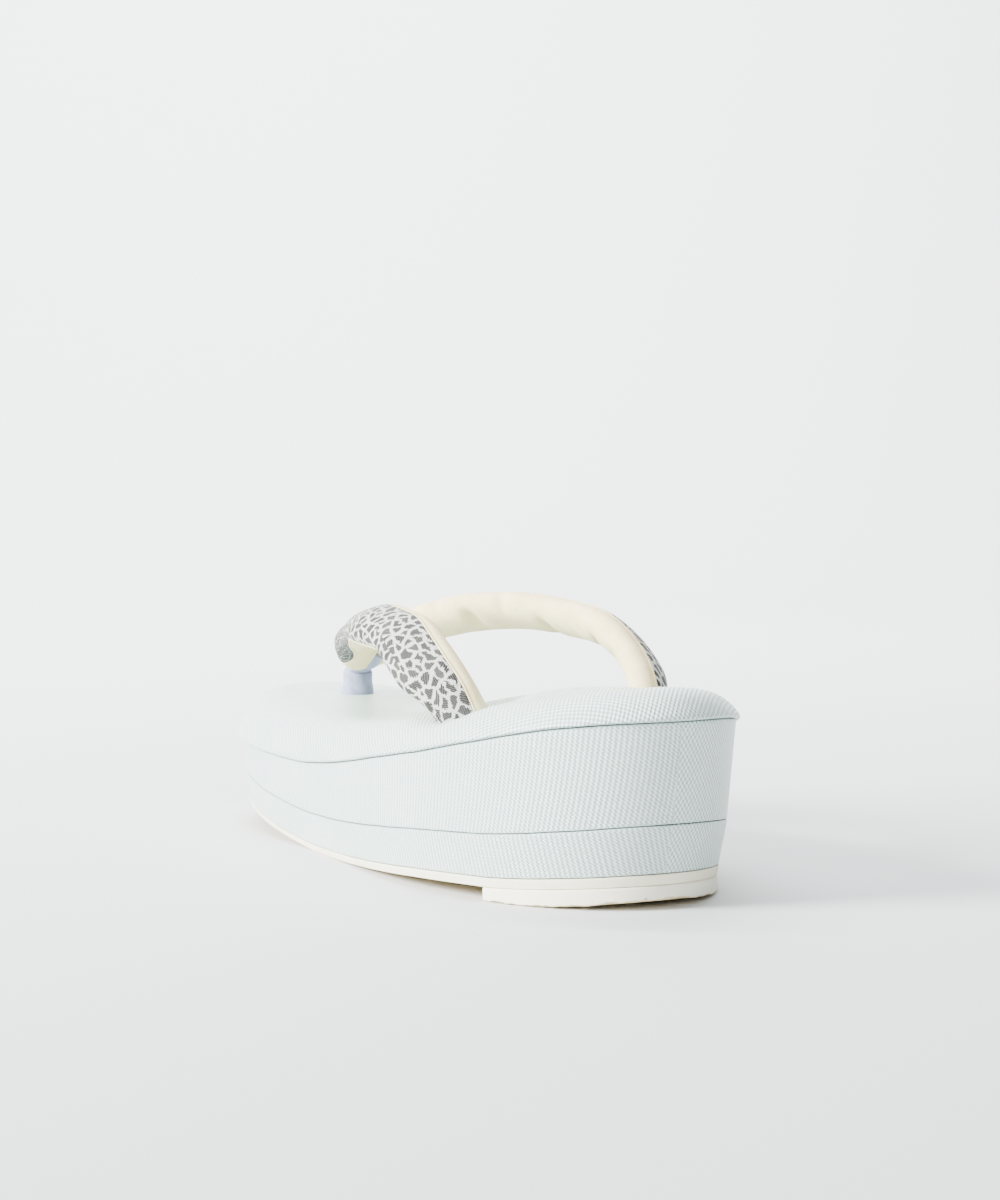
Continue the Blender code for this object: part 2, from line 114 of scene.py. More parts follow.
def skin(name, loops, sheet, finish, closed_ends=True):
    """A mesh between closed loops of points, with the cloth's own place of each point in its UV map."""
    mesh = bmesh.new()
    flat = mesh.loops.layers.uv.new("sheet")
    rows = [[mesh.verts.new(point) for point in loop] for loop in loops]
    count = len(rows[0])
    for row in range(len(rows) - 1):
        for index in range(count):
            after = (index + 1) % count
            corners = ((row, index), (row, index + 1), (row + 1, index + 1), (row + 1, index))
            points = (rows[row][index], rows[row][after], rows[row + 1][after], rows[row + 1][index])
            face = mesh.faces.new(points)
            for corner, (place_row, place) in zip(face.loops, corners):
                corner[flat].uv = sheet[place_row][place]
    if closed_ends:
        half = count // 2
        for row, turned in ((rows[0], True), (rows[-1], False)):
            for index in range(half):
                points = [row[index], row[index + 1], row[(-index - 1) % count], row[-index]]
                points = list(dict.fromkeys(points))
                face = mesh.faces.new(reversed(points) if turned else points)
                for corner in face.loops:
                    corner[flat].uv = (corner.vert.co.x, corner.vert.co.y)
    bmesh.ops.remove_doubles(mesh, verts=mesh.verts, dist=0.005 * MM)
    bmesh.ops.dissolve_degenerate(mesh, edges=mesh.edges, dist=0.004 * MM)
    bmesh.ops.recalc_face_normals(mesh, faces=mesh.faces)
    data = bpy.data.meshes.new(name)
    mesh.to_mesh(data)
    mesh.free()
    data.materials.append(finish)
    data.shade_smooth()
    made = bpy.data.objects.new(name, data)
    bpy.context.scene.collection.objects.link(made)
    return made


class Wire:
    """A shader socket that sums can be written with: each sum on values adds its Math node."""

    def __init__(self, tree, socket=None):
        self.tree = tree
        self.socket = socket

    def add(self, kind, settings, inputs, output=0):
        """A node with its settings made first, then the values or links of its sockets."""
        made = self.tree.nodes.new(kind)
        for name, value in settings.items():
            setattr(made, name, value)
        for name, value in inputs.items():
            if isinstance(value, Wire):
                self.tree.links.new(value.socket, made.inputs[name])
            else:
                made.inputs[name].default_value = value
        return Wire(self.tree, made.outputs[output])

    def math(self, operation, *values):
        return self.add("ShaderNodeMath", {"operation": operation}, dict(enumerate(values)))

    def __add__(self, other):
        return self.math("ADD", self, other)

    def __sub__(self, other):
        return self.math("SUBTRACT", self, other)

    def __rsub__(self, other):
        return self.math("SUBTRACT", other, self)

    def __mul__(self, other):
        return self.math("MULTIPLY", self, other)

    __radd__ = __add__
    __rmul__ = __mul__

    def cosine(self):
        return self.math("COSINE", self)

    def between(self, low, high):
        """0 below low, 1 above high and a soft step between."""
        settings = {"interpolation_type": "SMOOTHSTEP"}
        return self.add("ShaderNodeMapRange", settings, {0: self, 1: low, 2: high})

    def tint(self, low, high):
        """The mix of two colours by this value."""
        settings = {"data_type": "RGBA"}
        return self.add("ShaderNodeMix", settings, {0: self, 6: low, 7: high}, 2)

    def grain(self, size, detail=2.0):
        """Noise between 0 and 1 with lumps of about that size."""
        where = self.add("ShaderNodeTexCoord", {}, {}, 3)
        return self.add("ShaderNodeTexNoise", {}, {"Vector": where, "Scale": 1 / size, "Detail": detail})

    def sheet(self):
        """Place on the flat sheet of cloth in metres: across it, then along it."""
        where = self.add("ShaderNodeUVMap", {"uv_map": "sheet"}, {})
        apart = where.add("ShaderNodeSeparateXYZ", {}, {0: where})
        across = Wire(self.tree, apart.socket.node.outputs[0])
        along = Wire(self.tree, apart.socket.node.outputs[1])
        return across, along


def finish_of(name, constants, paint):
    """A Principled material: its constant sockets, and what paint(wire) returns for those that vary."""
    made = bpy.data.materials.new(name)
    made.use_nodes = True
    tree = made.node_tree
    shader = tree.nodes["Principled BSDF"]
    for socket, value in constants.items():
        shader.inputs[socket].default_value = value
    for socket, wire in paint(Wire(tree)).items():
        tree.links.new(wire.socket, shader.inputs[socket])
    return made


def rubber_paint(dark, light):
    """Crepe rubber: a slowly varying warm tone with fine pits. Faces turned to the floor are painted tan, a
    painted warm glow.
    """

    def paint(wire):
        slow = wire.grain(14 * MM)
        pits = wire.grain(0.9 * MM, 3.0)
        crumbs = wire.grain(0.35 * MM, 1.0)
        facing = wire.add("ShaderNodeNewGeometry", {}, {}, 1)
        apart = facing.add("ShaderNodeSeparateXYZ", {}, {0: facing}, 2)
        tone = (slow * 0.6 + pits * 0.4).between(0.25, 0.7).tint(dark, light)
        # Faces turned to the floor are painted tan, a painted warm glow under the sole
        under = (0 - apart).between(0.3, 0.9)
        colour = under.tint(tone, UNDERSIDE_GLOW_TAN)
        height = pits * 0.7 + crumbs * 0.3
        bump = wire.add("ShaderNodeBump", {}, {"Strength": 0.5, "Distance": 0.25 * MM, "Height": height})
        return {"Base Color": colour, "Roughness": pits * 0.15 + 0.55, "Normal": bump}

    return paint


rubber_sockets = {
    "Specular IOR Level": 0.35,
    "Subsurface Weight": 0.06,
    "Subsurface Radius": (4 * MM, 3 * MM, 2 * MM),
}
heel_rubber = finish_of("heel_rubber", rubber_sockets, rubber_paint(HEEL_RUBBER_DARK, HEEL_RUBBER_LIGHT))


def heel_piece_ring(share, inwards, rise, ragged):
    """One loop of the heel piece, at a share of its height, drawn inwards, raised and cut ragged."""
    seam = tuple(inset + inwards for inset in TREAD_EDGE)
    front = HEEL_LIFT_LENGTH - LENGTH / 2 - inwards
    tip = seam[2] - LENGTH / 2
    right = []
    for step in range(61):
        y = mix(tip, front, 1 - math.cos(math.pi / 2 * step / 60))
        right.append((half_width(y, seam), y))
    width = right[-1][0]
    right += [(width * (1 - share / 12), front) for share in range(1, 13)]
    places = right + [(-x, y) for x, y in reversed(right[1:-1])]
    loop = []
    for x, y in places:
        nick = ragged * (0.7 * wander(x, y, 4.0 * MM) + 0.5 * wander(x, y + 1.0, 1.5 * MM))
        top = HEEL_LIFT_THICKNESS + heel_rise(y)
        loop.append(Vector((x, y, mix(heel_spring(y), top, share) + rise + nick)))
    return loop


# Loops up the heel piece: share of its height, inset, rise, raggedness
heel_levels = [(0, 0.9 * MM, 0.1 * MM, 0.10 * MM), (0, 0.5 * MM, 0.18 * MM, 0.5 * MM)]
heel_levels += [(0, 0.1 * MM, 0.35 * MM, 0.6 * MM), (0, 0.0, 0.6 * MM, 0.45 * MM)]
heel_levels += [(mix(0.2, 0.9, step / 6), 0.0, 0.0, 0.05 * MM) for step in range(7)]
heel_levels += [(1, 0.05 * MM, 0.18 * MM, 0.0), (1, 0.2 * MM, 0.26 * MM, 0.0)]
heel_loops = [heel_piece_ring(*level) for level in heel_levels]


def wrapped(loops):
    """Place on a strip that runs round the loops: length round, then height."""
    sheet = []
    for loop in loops:
        run = 0.0
        row = []
        for index in range(len(loop) + 1):
            row.append((run, loop[index % len(loop)].z))
            run += (loop[(index + 1) % len(loop)] - loop[index % len(loop)]).length
        sheet.append(row)
    return sheet


heel_piece = skin("heel_piece", heel_loops, wrapped(heel_loops), heel_rubber)
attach(heel_piece, "root")
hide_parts("heel_lift")


# The outsole: a sheet of cream rubber under the whole sandal, glued to the lower tier. It lies flat under
# the ball, springs up to the toe, and its trimmed edge shows as a thin cream line. The layers of the sole are
# LAYER_GAP apart, and each reaches TUCK into that gap, so that the gap shows as a fine seam.

SOLE_SEAM = (2.5 * MM, 3.5 * MM, 8.8 * MM)
LAYER_GAP = 0.3 * MM
BALL_FLAT_START = 134 * MM
BALL_FLAT_END = 142 * MM
TOE_SPRING = 10.2 * MM
OUTSOLE_HEEL_THICKNESS = 2.7 * MM
OUTSOLE_TOE_THICKNESS = 1.0 * MM
TOE_SPRING_CURVE = 1.25
SOLE_RUBBER_DARK = (0.84, 0.80, 0.59, 1)
SOLE_RUBBER_LIGHT = (0.90, 0.87, 0.69, 1)
SOLE_WAVER = 0.04 * MM
WAVER_LENGTH = 11 * MM
TUCK = 0.04 * MM


def tread_height(y):
    """Underside of the outsole: over the heel piece, down to the ball's flat, then up to the toe."""
    from_heel = y + LENGTH / 2
    lifted = HEEL_LIFT_THICKNESS + LAYER_GAP
    heel_side = 1 - smooth((from_heel - HEEL_LIFT_LENGTH) / (BALL_FLAT_START - HEEL_LIFT_LENGTH))
    toe_side = max(from_heel - BALL_FLAT_END, 0.0) / (LENGTH - BALL_FLAT_END)
    return lifted * heel_side + heel_rise(y) + TOE_SPRING * toe_side**TOE_SPRING_CURVE


def sole_underside(y):
    """The tread, raised so that the sheet's waver stays off the floor."""
    return tread_height(y) + TUCK + SOLE_WAVER


def outsole_top(y):
    return tread_height(y) + mix(OUTSOLE_HEEL_THICKNESS, OUTSOLE_TOE_THICKNESS, share_from_heel(y))


def outline(seam):
    """Closed outline of a seam from the heel's tip, up the right side, round the toe and back."""
    side_inset, toe_inset, heel_inset = seam
    ball_y = LENGTH / 2 - BALL_FROM_TOE
    heel_y = HEEL_ROUND_LENGTH - LENGTH / 2
    places = []
    for step in range(48, 0, -1):
        turn = math.sin(math.pi / 2 * step / 48) ** (2 / HEEL_FULLNESS)
        places.append(heel_y - (HEEL_ROUND_LENGTH - heel_inset) * turn)
    places += [mix(heel_y, ball_y, step / 24) for step in range(24)]
    for step in range(49):
        turn = math.sin(math.pi / 2 * step / 48) ** (2 / TOE_FULLNESS)
        places.append(ball_y + (BALL_FROM_TOE - toe_inset) * turn)
    right = [(half_width(y, seam), y) for y in places]
    return right + [(-x, y) for x, y in reversed(right[1:-1])]


def layer_loops(bottom_seam, bottom_height, top_seam, top_height, radius, waver, rows):
    """Loops up the side of a layer of the sole, with rounded edges that waver a little along their run."""
    loops = []
    for step in range(4):
        turn = math.pi / 2 * step / 3
        inwards = radius * (1 - math.sin(turn))
        rise = radius * (1 - math.cos(turn))
        loops.append((0.0, inwards, rise))
    for step in range(1, rows):
        loops.append((step / rows, 0.0, None))
    for step in range(3, -1, -1):
        turn = math.pi / 2 * step / 3
        loops.append((1.0, radius * (1 - math.sin(turn)), -radius * (1 - math.cos(turn))))
    made = []
    for share, inwards, rise in loops:
        seam = tuple(mix(low, high, share) + inwards for low, high in zip(bottom_seam, top_seam))
        loop = []
        for x, y in outline(seam):
            low = bottom_height(y) - TUCK + waver * wander(x, y + 0.3, WAVER_LENGTH)
            high = top_height(y) + TUCK + waver * wander(x, y + 0.3, WAVER_LENGTH)
            if rise is None:
                z = mix(low + radius, high - radius, share)
            else:
                z = (low if share == 0.0 else high) + rise
            loop.append(Vector((x, y, z)))
        made.append(loop)
    return made


sole_rubber = finish_of("sole_rubber", rubber_sockets, rubber_paint(SOLE_RUBBER_DARK, SOLE_RUBBER_LIGHT))
sole_loops = layer_loops(TREAD_EDGE, sole_underside, SOLE_SEAM, outsole_top, 0.2 * MM, SOLE_WAVER, 3)
sole_sheet = skin("sole_sheet", sole_loops, wrapped(sole_loops), sole_rubber)
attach(sole_sheet, "root")
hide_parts("outsole")


# The lower tier: a thin board with a strip of pearl coated canvas drawn round its side and glued under. Its
# weave shows as fine staggered grains, glossy on their crests, with a painted highlight on the crests and
# painted shade in the valleys.

TIER_SEAM = (1.4 * MM, 2.3 * MM, 5.0 * MM)
LOWER_TIER_HEEL_THICKNESS = 12.1 * MM
LOWER_TIER_TOE_THICKNESS = 8.7 * MM
LOWER_TIER_SAG = 1.2 * MM
GRAIN_LENGTH = 1.3 * MM
GRAIN_HEIGHT = 0.94 * MM
# Painted shade in the weave's valleys and a painted highlight on its crests, each in two slowly varying tones
CANVAS_VALLEY_SHADE = ((0.33, 0.44, 0.43, 1), (0.36, 0.465, 0.455, 1))
CANVAS_CREST_HIGHLIGHT = ((0.71, 0.87, 0.82, 1), (0.74, 0.885, 0.835, 1))
TIER_EDGE_RADIUS = 0.35 * MM
TIER_WAVER = 0.08 * MM


def sagging(heel, toe, sag, y):
    """Thickness of a tier at y: from heel to toe, thinner in the middle by its sag."""
    share = share_from_heel(y)
    return mix(heel, toe, share) - sag * 4 * share * (1 - share)


def lower_tier_bottom(y):
    return outsole_top(y) + LAYER_GAP


def lower_tier_top(y):
    thickness = sagging(LOWER_TIER_HEEL_THICKNESS, LOWER_TIER_TOE_THICKNESS, LOWER_TIER_SAG, y)
    return lower_tier_bottom(y) + thickness


def canvas_paint(wire):
    """Coated canvas: staggered grains with a painted highlight on their crests and painted shade between,
    over a slow tone.
    """
    across, along = wire.sheet()
    drift = (wire.grain(12 * MM) - 0.5) * (0.3 * MM)
    over = ((across + drift) * (2 * math.pi / GRAIN_LENGTH)).cosine()
    up = ((along + drift) * (math.pi / GRAIN_HEIGHT)).cosine()
    worn = wire.grain(0.6 * MM, 2.0)
    crest = (over * up + (worn - 0.5) * 0.8).between(-0.6, 0.5)
    slow = wire.grain(32 * MM, 1.0).between(0.35, 0.65)
    # The weave's crests get a painted highlight and its valleys painted shade
    colour = crest.tint(slow.tint(*CANVAS_VALLEY_SHADE), slow.tint(*CANVAS_CREST_HIGHLIGHT))
    height = crest + worn * 0.2
    bump = wire.add("ShaderNodeBump", {}, {"Strength": 0.8, "Distance": 0.26 * MM, "Height": height})
    return {"Base Color": colour, "Roughness": 0.36 - crest * 0.08, "Normal": bump}


canvas = finish_of("pearl_canvas", {"Specular IOR Level": 0.85}, canvas_paint)
lower_loops = layer_loops(
    SOLE_SEAM, lower_tier_bottom, TIER_SEAM, lower_tier_top, TIER_EDGE_RADIUS, TIER_WAVER, 10
)
lower_wrap = skin("lower_wrap", lower_loops, wrapped(lower_loops), canvas)
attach(lower_wrap, "root")
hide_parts("lower_tier")


# The upper tier: the wedge, covered in the same canvas as the lower tier. It is high at the heel and thin
# at the toe, and leans in towards the floor, most of all at the heel.

FOOTBED_SEAM = (0.5 * MM, 0.5 * MM, 0.5 * MM)
UPPER_TIER_HEEL_THICKNESS = 24.6 * MM
UPPER_TIER_TOE_THICKNESS = 7.6 * MM
UPPER_TIER_SAG = 0.4 * MM
WEDGE_SWELL = 10.5 * MM
WEDGE_SWELL_LENGTH = 65 * MM


def upper_tier_bottom(y):
    return lower_tier_top(y) + LAYER_GAP


def wedge_swell(y):
    """Extra thickness of the wedge over the heel, which its cushion is thinner by."""
    share = max(1 - share_from_heel(y) * LENGTH / WEDGE_SWELL_LENGTH, 0.0)
    return WEDGE_SWELL * share**1.5 * (1 - share)


def upper_tier_top(y):
    thickness = sagging(UPPER_TIER_HEEL_THICKNESS, UPPER_TIER_TOE_THICKNESS, UPPER_TIER_SAG, y)
    return upper_tier_bottom(y) + thickness + wedge_swell(y)


wedge_loops = layer_loops(
    TIER_SEAM, upper_tier_bottom, FOOTBED_SEAM, upper_tier_top, TIER_EDGE_RADIUS, TIER_WAVER, 18
)
wedge_wrap = skin("wedge_wrap", wedge_loops, wrapped(wedge_loops), canvas)
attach(wedge_wrap, "root")
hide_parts("upper_tier")


# The footbed: a foam cushion under a sheet of the same canvas, which is pulled down over its rolled edge
# and glued underneath. The straps and the thong pull it down into dimples round their holes.

CUSHION_HEEL_THICKNESS = 11 * MM
CUSHION_TOE_THICKNESS = 13 * MM
CUSHION_CROWN = 1.5 * MM
HEEL_CROWN = 2.8 * MM
CROWN_RUN = 26 * MM
CROWN_ROWS = 20
CUSHION_ROLL = (16 * MM, 14 * MM, 24 * MM)
THONG_Y = 75 * MM
STRAP_HOLE_X = 27 * MM
STRAP_HOLE_Y = -57.5 * MM

# Dimples: x, y, depth, radius
DIMPLES = (
    (0.0, THONG_Y, 1.2 * MM, 14 * MM),
    (STRAP_HOLE_X, STRAP_HOLE_Y, 4.2 * MM, 17 * MM),
    (-STRAP_HOLE_X, STRAP_HOLE_Y, 5.2 * MM, 20 * MM),
)

# Side of the cushion: share of the roll's width inwards, share of the cushion's thickness upwards
CUSHION_SIDE = (
    (0.020, 0.00),
    (-0.020, 0.02),
    (-0.030, 0.06),
    (-0.015, 0.14),
    (0.035, 0.28),
    (0.100, 0.43),
    (0.180, 0.58),
    (0.290, 0.73),
    (0.450, 0.86),
    (0.690, 0.955),
    (1.000, 1.00),
)


def cushion_bottom(y):
    return upper_tier_top(y) + LAYER_GAP


def cushion_thickness(y):
    thickness = mix(CUSHION_HEEL_THICKNESS, CUSHION_TOE_THICKNESS, smooth(share_from_heel(y)))
    return thickness - wedge_swell(y)


def bed_height(y):
    return cushion_bottom(y) + cushion_thickness(y) + CUSHION_CROWN


def dimple(x, y):
    """How far the cushion is pulled down at a place."""
    pulls = [(math.hypot(x - px, y - py) / radius, depth) for px, py, depth, radius in DIMPLES]
    return sum(depth * (1 - smooth(away)) for away, depth in pulls)


def crown_height(from_middle, y):
    """Height of the cushion's crown in the middle, at y, less towards the heel's and the toe's tips."""
    towards_heel = smooth((-20 * MM - y) / (50 * MM))
    return mix(CUSHION_CROWN, HEEL_CROWN, towards_heel) * smooth(from_middle / CROWN_RUN)


def spline_rows(rows, steps):
    """Rows between the given rows, on a smooth curve through them."""
    smoothed = []
    for index in range(len(rows) - 1):
        before = rows[max(index - 1, 0)]
        after = rows[min(index + 2, len(rows) - 1)]
        for step in range(steps):
            t = step / steps
            row = []
            for a, b, c, d in zip(before, rows[index], rows[index + 1], after):
                bend = 2 * a - 5 * b + 4 * c - d
                twist = 3 * b - a - 3 * c + d
                row.append(b + 0.5 * t * (c - a + t * (bend + t * twist)))
            smoothed.append(tuple(row))
    smoothed.append(rows[-1])
    return smoothed


cushion_loops = []
for inwards, upwards in spline_rows(CUSHION_SIDE, 4):
    loop = []
    for x, y in outline(tuple(inset * inwards for inset in CUSHION_ROLL)):
        z = cushion_bottom(y) + cushion_thickness(y) * upwards - dimple(x, y) * upwards
        z += (TIER_WAVER * wander(x, y + 0.3, WAVER_LENGTH) - TUCK) * (1 - upwards)
        loop.append(Vector((x, y, z)))
    cushion_loops.append(loop)
rim = cushion_loops[-1]
rim_level = [cushion_bottom(p.y) + cushion_thickness(p.y) for p in rim]
for step in range(1, CROWN_ROWS + 1):
    share = 1 - step / CROWN_ROWS
    loop = []
    for p, level in zip(rim, rim_level):
        x = p.x * share
        crown = crown_height(abs(p.x), p.y) * (1 - share * share) ** 2
        loop.append(Vector((x, p.y, level + crown - dimple(x, p.y))))
    cushion_loops.append(loop)

# The sheet over the cushion lies flat on its top and is unrolled outwards down its side.
side_rows = len(cushion_loops) - CROWN_ROWS
cushion_sheet = [None] * len(cushion_loops)
for row in range(len(cushion_loops) - 1, -1, -1):
    places = []
    for index in range(len(rim)):
        here = cushion_loops[row][index]
        if row >= side_rows - 1:
            places.append((here.x, here.y))
        else:
            inner = cushion_loops[row + 1][index]
            first = cushion_loops[0][index] - rim[index]
            out = Vector((first.x, first.y)).normalized()
            x, y = cushion_sheet[row + 1][index]
            run = (here - inner).length
            places.append((x + out.x * run, y + out.y * run))
    cushion_sheet[row] = places + places[:1]

footbed_cushion = skin("footbed_cushion", cushion_loops, cushion_sheet, canvas)
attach(footbed_cushion, "root")
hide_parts("footbed")


# The straps: two padded tubes, silver brocade above and outside, ivory felt below and inside. Each comes up
# through its hole by the heel, and the two are sewn together above the thong.

STRAP_WIDTH = 18 * MM
STRAP_THICKNESS = 9 * MM
STRAP_RISE = 28 * MM
STRAP_REACH = THONG_Y - STRAP_HOLE_Y
STRAP_PARTING = 0.5 * MM
STRAP_POINTS = 72
SEAM_OUTSIDE = 10
SEAM_INSIDE = 44
SEAM_GROOVE = 0.3 * MM
SEAM_SPREAD = 1.3
CREASE_SPREAD = 7
CREASE_SLANT = 0.6
SECTION_SQUARENESS = 0.9
PIPING_RADIUS = 0.36 * MM

# Where the seams lie round a strap's section, in degrees from its outer edge towards its underside: the inner
# seam on the right and on the left strap, the outer seam at the foot, on the nose and at the middle, and the
# place from which a loop is drawn.
INSIDE_ANGLES = (240, 230)
OUTSIDE_ANGLES = (25, 70, -20)
START_ANGLE = -50

# A strap from inside its hole to the middle: x share of the hole's offset, y share of the way from the strap
# hole to the thong, z share of the strap's rise above the footbed, direction of the strap's width in plan in
# degrees from +X towards +Y, dip of its outer edge in degrees, share of its width, share of its thickness.
# The left strap has slumped a little more than the right one over its front half.
LEFT_STRAP_ROWS = (
    (0.960, -0.010, -0.480, 44, 0, 0.70, 1.00),
    (1.020, 0.014, -0.190, 44, 2, 0.84, 1.10),
    (1.108, 0.046, 0.040, 40, 8, 0.94, 1.06),
    (1.168, 0.093, 0.237, 37, 18, 1.01, 1.00),
    (1.173, 0.165, 0.490, 36, 21, 1.00, 1.00),
    (1.127, 0.248, 0.699, 37, 22, 0.96, 1.02),
    (1.077, 0.381, 0.840, 33, 24, 0.96, 1.02),
    (0.871, 0.509, 0.880, 32, 19, 0.97, 1.00),
    (0.591, 0.642, 0.840, 32, 18, 1.00, 0.98),
    (0.389, 0.786, 0.720, 36, 18, 1.00, 0.99),
    (0.183, 0.899, 0.530, 58, 21, 0.97, 1.00),
    (0.000, 0.974, 0.385, 90, 27, 0.97, 1.00),
)
RIGHT_STRAP_ROWS = (
    (0.960, -0.010, -0.480, 44, 0, 0.70, 1.00),
    (1.020, 0.014, -0.190, 44, 2, 0.84, 1.10),
    (1.108, 0.046, 0.040, 40, 8, 0.94, 1.06),
    (1.168, 0.093, 0.237, 37, 18, 1.01, 1.00),
    (1.173, 0.165, 0.490, 36, 21, 1.00, 1.00),
    (1.127, 0.248, 0.699, 37, 22, 0.96, 1.02),
    (1.077, 0.381, 0.850, 33, 25, 0.96, 1.02),
    (0.871, 0.509, 0.960, 32, 24, 0.97, 1.00),
    (0.591, 0.642, 0.955, 32, 25, 1.00, 0.98),
    (0.389, 0.786, 0.810, 36, 23, 1.00, 0.99),
    (0.183, 0.899, 0.570, 58, 24, 0.97, 1.00),
    (0.000, 0.974, 0.385, 90, 27, 0.97, 1.00),
)

# Creases in the felt: share of the way along the strap, place round it, length along it, depth
FELT_CREASES = (
    (0.34, 24, 0.016, 0.7 * MM),
    (0.43, 19, 0.012, 1.2 * MM),
    (0.50, 30, 0.013, 1.0 * MM),
    (0.57, 20, 0.011, 1.6 * MM),
    (0.65, 33, 0.010, 1.5 * MM),
    (0.71, 25, 0.010, 2.0 * MM),
    (0.77, 34, 0.011, 1.7 * MM),
    (0.84, 20, 0.011, 1.4 * MM),
    (0.90, 28, 0.011, 1.2 * MM),
)


def strap_ring(middle, across, under, width, thickness, share, inside_angle):
    """One loop round a strap: domed faces, a fine groove at each seam, and the creases that reach it."""
    outside = mix(OUTSIDE_ANGLES[0], OUTSIDE_ANGLES[1], smooth((share - 0.70) / 0.16))
    outside = math.radians(mix(outside, OUTSIDE_ANGLES[2], smooth((share - 0.87) / 0.11)))
    inside = math.radians(inside_angle)
    start = math.radians(START_ANGLE)
    loop = []
    for step in range(STRAP_POINTS):
        if step < SEAM_OUTSIDE:
            angle = mix(start, outside, step / SEAM_OUTSIDE)
        elif step < SEAM_INSIDE:
            angle = mix(outside, inside, (step - SEAM_OUTSIDE) / (SEAM_INSIDE - SEAM_OUTSIDE))
        else:
            angle = mix(inside, 2 * math.pi + start, (step - SEAM_INSIDE) / (STRAP_POINTS - SEAM_INSIDE))
        cosine = math.cos(angle)
        sine = math.sin(angle)
        pull = 0.0
        for seam in (SEAM_OUTSIDE, SEAM_INSIDE):
            pull += SEAM_GROOVE * math.exp(-((abs(step - seam) / SEAM_SPREAD) ** 2))
        for at, place, long, deep in FELT_CREASES:
            if SEAM_OUTSIDE < step < SEAM_INSIDE:
                turned = (step - place) / CREASE_SPREAD
                pull += deep * math.exp(-(((share - at) / long - turned * CREASE_SLANT) ** 2) - turned**2)
        a = math.copysign(abs(cosine) ** SECTION_SQUARENESS, cosine) * (width / 2 - pull)
        b = math.copysign(abs(sine) ** SECTION_SQUARENESS, sine) * (thickness / 2 - pull)
        loop.append(middle + across * a + under * b)
    return loop


def strap_loops(rows, side, inside_angle):
    """Loops along one strap: side is 1 for the right one and -1 for the left one."""
    rows = spline_rows(rows, 16)
    middles = []
    for row in rows:
        y = STRAP_HOLE_Y + STRAP_REACH * row[1]
        middles.append(Vector((STRAP_HOLE_X * row[0], y, bed_height(y) + STRAP_RISE * row[2])))
    loops = []
    for index, row in enumerate(rows):
        plan = math.radians(row[3])
        dip = math.radians(row[4])
        level = math.cos(dip)
        across = Vector((math.cos(plan) * level, math.sin(plan) * level, -math.sin(dip)))
        if index < len(rows) - 1:
            heading = middles[index + 1] - middles[max(index - 1, 0)]
        else:
            heading = Vector((-1.0, 0.0, 0.0))
        under = heading.cross(across).normalized()
        share = index / (len(rows) - 1)
        width = STRAP_WIDTH * row[5]
        loop = strap_ring(middles[index], across, under, width, STRAP_THICKNESS * row[6], share, inside_angle)
        for point in loop:
            point.x = side * max(point.x, STRAP_PARTING / 2)
        loops.append(loop)
    for point in loops[-1]:
        point.x = 0.0
    return loops


def brocade_paint(wire):
    """Silver brocade: uneven cells of dark silver thread, each hatched its own way, in a white net."""
    across, along = wire.sheet()
    bend = wire.grain(3.0 * MM, 1.0) - 0.5
    fine = wire.grain(0.8 * MM, 1.0) - 0.5
    narrow = (along * (1 / STRAP_REACH)).between(0.35, 1.0)
    over = across * (narrow * 150.0 + 350.0) + bend * 0.7 + fine * 0.35
    up = along * 265.0 + narrow * narrow * (STRAP_REACH * 75.0) - bend * 0.6 - fine * 0.3
    cloth = wire.add("ShaderNodeCombineXYZ", {}, {0: over, 1: up})
    setting = {"voronoi_dimensions": "2D", "feature": "DISTANCE_TO_EDGE"}
    edge = wire.add("ShaderNodeTexVoronoi", setting, {"Vector": cloth, "Scale": 1.0, "Randomness": 0.9})
    setting = {"voronoi_dimensions": "2D", "feature": "F1"}
    cell = wire.add("ShaderNodeTexVoronoi", setting, {"Vector": cloth, "Scale": 1.0, "Randomness": 0.9}, 1)
    apart = cell.add("ShaderNodeSeparateColor", {}, {0: cell})
    first = Wire(wire.tree, apart.socket.node.outputs[0])
    second = Wire(wire.tree, apart.socket.node.outputs[1])
    lean = first * math.pi
    hatch = across * wire.math("COSINE", lean) + along * wire.math("SINE", lean)
    thread = (hatch * (2 * math.pi / (0.62 * MM)) + bend * 3.0).cosine().between(0.0, 0.9)
    fray = wire.grain(0.5 * MM, 2.0).between(0.35, 0.65)
    inside = (edge - thread * 0.05 + narrow * 0.085).between(0.10, 0.15)
    lit = thread * 0.6 + second * 0.25 + fray * 0.15
    silver = lit.tint((0.010, 0.010, 0.009, 1), (0.125, 0.125, 0.114, 1))
    ribs = (across * (2 * math.pi / (0.45 * MM))).cosine() * 0.5 + 0.5
    net = ribs.tint((0.42, 0.415, 0.375, 1), (0.72, 0.715, 0.66, 1))
    colour = inside.tint(net, silver)
    height = (1 - inside) * 0.9 + thread * 0.25 + ribs * 0.12 + fray * 0.1
    bump = wire.add("ShaderNodeBump", {}, {"Strength": 0.8, "Distance": 0.3 * MM, "Height": height})
    return {
        "Base Color": colour,
        "Roughness": 0.68 - inside * 0.12,
        "Normal": bump,
    }


